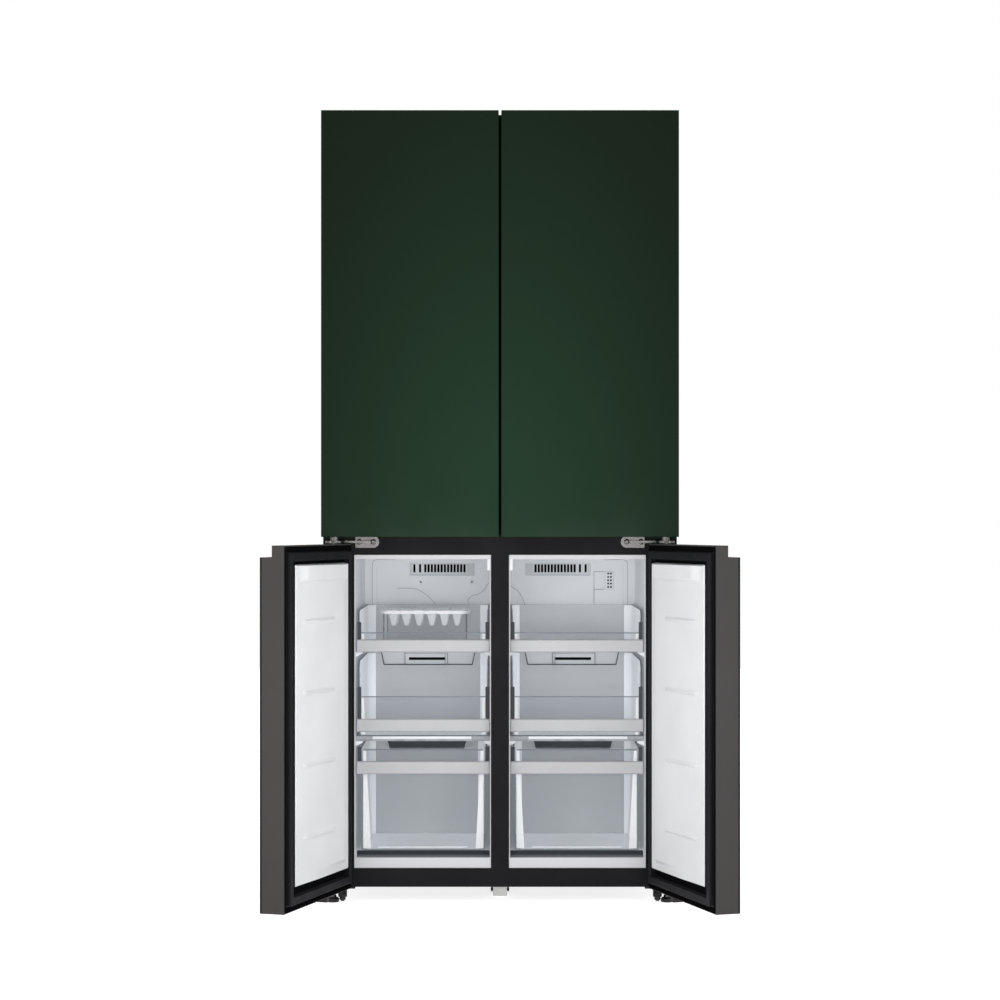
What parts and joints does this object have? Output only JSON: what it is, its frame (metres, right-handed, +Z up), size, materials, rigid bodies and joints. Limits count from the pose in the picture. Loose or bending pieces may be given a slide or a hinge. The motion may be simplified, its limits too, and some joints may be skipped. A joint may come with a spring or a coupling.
{
  "type": "four-door refrigerator",
  "caption": "Free-standing bottom-freezer refrigerator with glass-fronted doors, freezer drawers, an ice tray and bin, levelling feet and wheels.",
  "frame": {"origin": "on the floor, under the middle of the whole as it stands, with the freezer doors open; the cabinet's front frame is 105 mm in front of it", "axes": "+X to the right seen from the front, +Y to the back, +Z up"},
  "size_m": [1.0558, 1.0476, 1.86],
  "materials": {
    "door_glass": "dark green glass, painted behind",
    "door_paint": "satin",
    "cabinet_paint": "fine texture",
    "galvanised_sheet": "dull zinc coat",
    "frame_paint": "satin",
    "dark_steel": "semi-matt",
    "black_enamel": "semi-gloss",
    "zinc_steel": "zinc plated",
    "fin_aluminium": "plain",
    "foam": "rigid foam",
    "white_liner": "smooth",
    "cavity_liner": "smooth",
    "white_plastic": "smooth",
    "rail_plastic": "satin",
    "pale_plastic": "moulded",
    "black_plastic": "moulded",
    "clear_plastic": "clear, faint blue",
    "shelf_glass": "clear",
    "seal_rubber": "soft"
  },
  "bodies": {
    "cabinet": {"cabinet_shell": "cabinet_paint", "back_panel": "galvanised_sheet", "front_frame": "frame_paint", "insulation": "foam", "fridge_liner": "white_liner", "freezer_liner": "cavity_liner", "freezer_partition": "cavity_liner", "base_plate": "dark_steel", "machine_room_cover": "galvanised_sheet", "compressor": "black_enamel", "condenser": "dark_steel", "evaporator": "fin_aluminium", "evaporator_cover": "cavity_liner", "fridge_duct": "white_liner", "fridge_shelves": "shelf_glass", "freezer_shelves": "white_plastic", "outer_hinges": "zinc_steel", "middle_hinges": "zinc_steel", "hinge_covers": "black_plastic"},
    "upper_left_door": {"upper_left_panel": "door_glass", "upper_left_casing": "door_paint", "upper_left_liner": "white_liner", "upper_left_seal": "seal_rubber", "upper_left_bins": "clear_plastic"},
    "upper_right_door": {"upper_right_panel": "door_glass", "upper_right_casing": "door_paint", "upper_right_liner": "white_liner", "upper_right_seal": "seal_rubber", "upper_right_bins": "clear_plastic"},
    "lower_left_door": {"lower_left_panel": "door_glass", "lower_left_casing": "door_paint", "lower_left_liner": "white_liner", "lower_left_seal": "seal_rubber"},
    "lower_right_door": {"lower_right_panel": "door_glass", "lower_right_casing": "door_paint", "lower_right_liner": "white_liner", "lower_right_seal": "seal_rubber"},
    "left_top_drawer": {"left_top_bin": "clear_plastic", "left_top_rail": "rail_plastic"},
    "left_middle_drawer": {"left_middle_bin": "clear_plastic", "left_middle_rail": "rail_plastic"},
    "left_bottom_drawer": {"left_bottom_bin": "clear_plastic", "left_bottom_rail": "rail_plastic"},
    "right_top_drawer": {"right_top_bin": "clear_plastic", "right_top_rail": "rail_plastic"},
    "right_middle_drawer": {"right_middle_bin": "clear_plastic", "right_middle_rail": "rail_plastic"},
    "right_bottom_drawer": {"right_bottom_bin": "clear_plastic", "right_bottom_rail": "rail_plastic"},
    "ice_bin": {"ice_bin": "clear_plastic"},
    "ice_tray": {"ice_tray": "white_plastic"},
    "crisper_left": {"crisper_left": "clear_plastic"},
    "foot_left": {"foot_left": "black_plastic"},
    "crisper_right": {"crisper_right": "clear_plastic"},
    "foot_right": {"foot_right": "black_plastic"},
    "front_wheels": {"front_wheels": "black_plastic"},
    "centre_roller": {"centre_roller": "pale_plastic"},
    "rear_wheels": {"rear_wheels": "black_plastic"},
    "condenser_fan": {"condenser_fan": "black_plastic"},
    "evaporator_fan": {"evaporator_fan": "white_plastic"}
  },
  "joints": [
    {"name": "upper_left_door_hinge", "type": "hinge", "parent": "cabinet", "child": "upper_left_door", "pos_m": [-0.387, -0.14823, 1.362], "axis": [0, 0, -1], "range_deg": [0, 115]},
    {"name": "lower_left_door_hinge", "type": "hinge", "parent": "cabinet", "child": "lower_left_door", "pos_m": [-0.387, -0.14823, 0.443], "axis": [0, 0, -1], "range_deg": [-107.5, 7.5]},
    {"name": "upper_right_door_hinge", "type": "hinge", "parent": "cabinet", "child": "upper_right_door", "pos_m": [0.387, -0.14823, 1.362], "axis": [0, 0, 1], "range_deg": [0, 115]},
    {"name": "lower_right_door_hinge", "type": "hinge", "parent": "cabinet", "child": "lower_right_door", "pos_m": [0.387, -0.14823, 0.443], "axis": [0, 0, 1], "range_deg": [-107.5, 7.5]},
    {"name": "left_top_drawer_slide", "type": "slide", "parent": "cabinet", "child": "left_top_drawer", "axis": [0, -1, 0], "range_m": [0, 0.36]},
    {"name": "left_middle_drawer_slide", "type": "slide", "parent": "cabinet", "child": "left_middle_drawer", "axis": [0, -1, 0], "range_m": [0, 0.36]},
    {"name": "left_bottom_drawer_slide", "type": "slide", "parent": "cabinet", "child": "left_bottom_drawer", "axis": [0, -1, 0], "range_m": [0, 0.27]},
    {"name": "right_top_drawer_slide", "type": "slide", "parent": "cabinet", "child": "right_top_drawer", "axis": [0, -1, 0], "range_m": [0, 0.36]},
    {"name": "right_middle_drawer_slide", "type": "slide", "parent": "cabinet", "child": "right_middle_drawer", "axis": [0, -1, 0], "range_m": [0, 0.36]},
    {"name": "right_bottom_drawer_slide", "type": "slide", "parent": "cabinet", "child": "right_bottom_drawer", "axis": [0, -1, 0], "range_m": [0, 0.27]},
    {"name": "ice_bin_lift", "type": "slide", "parent": "left_top_drawer", "child": "ice_bin", "axis": [0, 0, 1], "range_m": [0, 0.08]},
    {"name": "ice_tray_lift", "type": "slide", "parent": "ice_bin", "child": "ice_tray", "axis": [0, 0, 1], "range_m": [0, 0.04]},
    {"name": "left_crisper_slide", "type": "slide", "parent": "cabinet", "child": "crisper_left", "axis": [0, -1, 0], "range_m": [0, 0.055]},
    {"name": "right_crisper_slide", "type": "slide", "parent": "cabinet", "child": "crisper_right", "axis": [0, -1, 0], "range_m": [0, 0.055]},
    {"name": "left_foot_screw", "type": "hinge", "parent": "cabinet", "child": "foot_left", "pos_m": [-0.396, -0.08523, 0.02], "axis": [0, 0, 1], "continuous": true},
    {"name": "right_foot_screw", "type": "hinge", "parent": "cabinet", "child": "foot_right", "pos_m": [0.396, -0.08523, 0.02], "axis": [0, 0, 1], "continuous": true},
    {"name": "front_wheels_axle", "type": "hinge", "parent": "cabinet", "child": "front_wheels", "pos_m": [0, -0.08123, 0.017], "axis": [1, 0, 0], "continuous": true},
    {"name": "centre_roller_axle", "type": "hinge", "parent": "cabinet", "child": "centre_roller", "pos_m": [0, 0.00177, 0.017], "axis": [1, 0, 0], "continuous": true},
    {"name": "rear_wheels_axle", "type": "hinge", "parent": "cabinet", "child": "rear_wheels", "pos_m": [0, 0.48377, 0.018], "axis": [1, 0, 0], "continuous": true},
    {"name": "condenser_fan_shaft", "type": "hinge", "parent": "cabinet", "child": "condenser_fan", "pos_m": [-0.04, 0.45177, 0.124], "axis": [1, 0, 0], "continuous": true},
    {"name": "evaporator_fan_shaft", "type": "hinge", "parent": "cabinet", "child": "evaporator_fan", "pos_m": [0, 0.40677, 0.6995], "axis": [0, 1, 0], "continuous": true}
  ]
}
